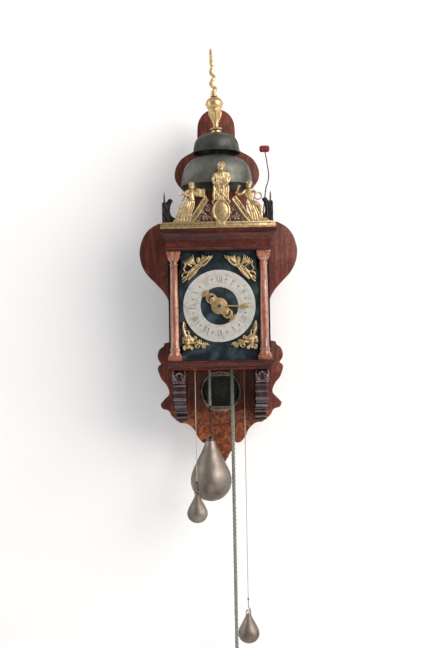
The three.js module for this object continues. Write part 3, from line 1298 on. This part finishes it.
function twistedSpire() {
  const foot = finial.ballAt + finial.ball;
  const span = finial.tip - foot;
  const { low, high, strand, offset, turns, rings, sides } = spireShares;
  const sections = Array.from({ length: rings + 1 }, (_, i) => {
    const share = i / rings;
    const twist = share * turns * 2 * Math.PI;
    const taper = 1 - share / 3;
    return Array.from({ length: sides }, (_, j) => {
      const angle = (2 * Math.PI * j) / sides;
      const radius = finial.ball * taper * (strand + offset * Math.abs(Math.cos(angle)) ** 1.5);
      const z = foot + (low + share * (high - low)) * span;
      return new THREE.Vector3(radius * Math.cos(angle + twist), radius * Math.sin(angle + twist), z);
    });
  });
  const knops = turned([[0, foot + span * (high - low / 4)],
    ...knopShares.map(([r, z]) => [r * finial.ball * 1.4, foot + z * span]), [0, finial.tip]], 8);
  const root = turned([[0, foot], [finial.ball * 0.36, foot], [finial.ball * 0.2, foot + low * span * 1.1],
    [0, foot + low * span * 1.1]], 8);
  return join(root, loft(sections), knops);
}

function leaning(geometry) {
  const angle = (finial.lean * Math.PI) / 180;
  return moved(spunY(geometry, angle, 0, finial.low + finial.sink), 0, bellPost.y, 0);
}
node("finial", leaning(join(finialTurning(), twistedSpire())), gilt);
node("bell_standard", bellStandard(), steel);

// Hammers: an arbor with a rod and a head; the half-hour rod is bowed clear of the large bell
const bow = { out: 10.5, rise: 183.5 };
const halfHammer = {
  x: hammerAxis.half + bow.out, z: hammerAxis.z + bow.rise, half: 10.3, radius: 7, rod: 1.2,
};
const headRise = 127;
const hourHammerHead = { x: hammerAxis.hour, z: hammerAxis.z + headRise, half: 8, radius: 8, rod: 1.4 };
const bowPoints = [[0, 0], [2.5, 26], [7, 64], [11.5, 102], [16.8, 120], [17.8, 135], [14.5, 159],
  [bow.out, bow.rise]]
  .map(([x, z]) => [hammerAxis.half + x, hammerAxis.z + z]);

function hammerArbor(x) {
  const reach = hammerAxis.reach + pivotOut;
  return moved(discY(hammerAxis.radius, bellPost.y - reach, bellPost.y + reach, 8), x, 0, hammerAxis.z);
}

function halfHourHammer() {
  const rod = wire(bowPoints.map(([x, z]) => [x, bellPost.y, z]), halfHammer.rod, 6, 14);
  const { half, radius } = halfHammer;
  const head = new THREE.LatheGeometry(vectors([[0, -half], [radius * 0.8, -half], [radius, -half * 0.7],
    [radius, half * 0.7], [radius * 0.8, half], [0, half]]), 12).rotateZ(Math.PI / 2);
  return join(hammerArbor(hammerAxis.half), rod, head.translate(halfHammer.x, bellPost.y, halfHammer.z));
}
node("half_hour_hammer", halfHourHammer(), redLeather);

function hourHammer() {
  const { x, z, half, radius, rod } = hourHammerHead;
  const stem = wire([[x, bellPost.y, hammerAxis.z], [x - rod, bellPost.y, (hammerAxis.z + z) / 2],
    [x, bellPost.y, z]],
    rod, 6, 3);
  const head = new THREE.LatheGeometry(vectors([[0, -half], [radius * 0.8, -half], [radius, -half * 0.7],
    [radius, half * 0.7], [radius * 0.8, half], [0, half]]), 12).rotateZ(Math.PI / 2);
  return join(hammerArbor(hammerAxis.hour), stem, head.translate(x, bellPost.y, z));
}
node("hour_hammer", hourHammer(), steel);

// Weights: cast pears with a loop on top, and the wire hooks that hang them
const pearShares = [
  [0, 0], [0.3, 0.012], [0.66, 0.08], [0.92, 0.2], [1, 0.32], [0.96, 0.43], [0.77, 0.58],
  [0.46, 0.79], [0.28, 0.93], [0.24, 1], [0, 1],
];
const mainWeight = { radius: 41.4, top: -163, bottom: -284.4, ring: 6, wire: 1.5, hookTop: -94, sides: 15 };
const leftWeight = { radius: 20.3, top: -263, bottom: -317, ring: 5, wire: 1.1, hookTop: -236, sides: 10 };
const rightWeight = { radius: 22, top: -522, bottom: -581, ring: 5, wire: 1.1, hookTop: -489, sides: 10 };

function pear({ radius, top, bottom, sides }) {
  return turned(pearShares.map(([r, z]) => [r * radius, bottom + z * (top - bottom)]), sides);
}

// The hook: a loop through the pear's top, a shank, and an eye that the line is tied to
function hook({ top, ring: size, wire: thick, hookTop }) {
  const points = [[0, 0, top - size], [0, 0, top + thick], [size * 0.9, 0, top + size],
    [size * 0.8, 0, top + size * 2],
    [0, 0, top + size * 2.6], [-size * 0.6, 0, top + size * 2]];
  const shank = [[0, 0, top + size * 2.6], [0, 0, (top + size * 2.6 + hookTop) / 2],
    [0, 0, hookTop - thick]];
  return [wire(points, thick, 4, 8), wire(shank, thick, 4, 1),
    ball(thick * 1.8, 0, 0, hookTop - thick * 1.8)];
}

function hungWeight(size, [x, y]) {
  return moved(join(pear(size), ...hook(size)), x, y, 0);
}
node("main_weight", hungWeight(mainWeight, lines.drive), lead);
node("small_weight_left", hungWeight(leftWeight, lines.alarm), lead);
node("small_weight_right", hungWeight(rightWeight, lines.strike), lead);

// Lines: the drive rope over its pulley with a free tail and its ring, and a thin cord from each drum
const tailEnd = { whipping: 3.9, ring: 7.5, wire: 1.5, high: -612, low: -622 };

function hangingLine([x, y], radius, high, low, sides = 6) {
  return moved(discZ(radius, low, high, sides), x, y, 0);
}

function ropeOverPulley() {
  const y = lines.drive[1];
  const points = Array.from({ length: 11 }, (_, i) => {
    const angle = (Math.PI * i) / 10;
    return [pulleyRadius * Math.cos(angle), y, great[1] + gap + pulleyRadius * Math.sin(angle)];
  });
  return wire(points, ropeRadius, 8, 10);
}
node("rope_over_pulley", ropeOverPulley(), greenRope);
node("drive_rope", hangingLine(lines.drive, ropeRadius, great[1] - gap, mainWeight.hookTop + gap),
  greenRope);
node("rope_tail", hangingLine(lines.tail, ropeRadius, great[1] - gap, tailEnd.high + gap), greenRope);
node("cord_left", hangingLine(lines.alarm, cordRadius, alarm[1], leftWeight.hookTop + gap, 6), paleCord);
node("cord_right", hangingLine(lines.strike, cordRadius, strike[1], rightWeight.hookTop + gap, 6),
  paleCord);

function tailRing() {
  const { whipping, ring: size, wire: thick, high, low } = tailEnd;
  const [x, y] = lines.tail;
  const centre = low - size + thick;
  const points = Array.from({ length: 10 }, (_, i) => {
    const angle = (2 * Math.PI * i) / 10;
    return [x, y + size * Math.cos(angle), centre + size * Math.sin(angle)];
  });
  return join(hangingLine(lines.tail, whipping, high, low, 8), wire(points, thick, 5, 10, true));
}
node("rope_tail_ring", tailRing(), steel);

export default clock;
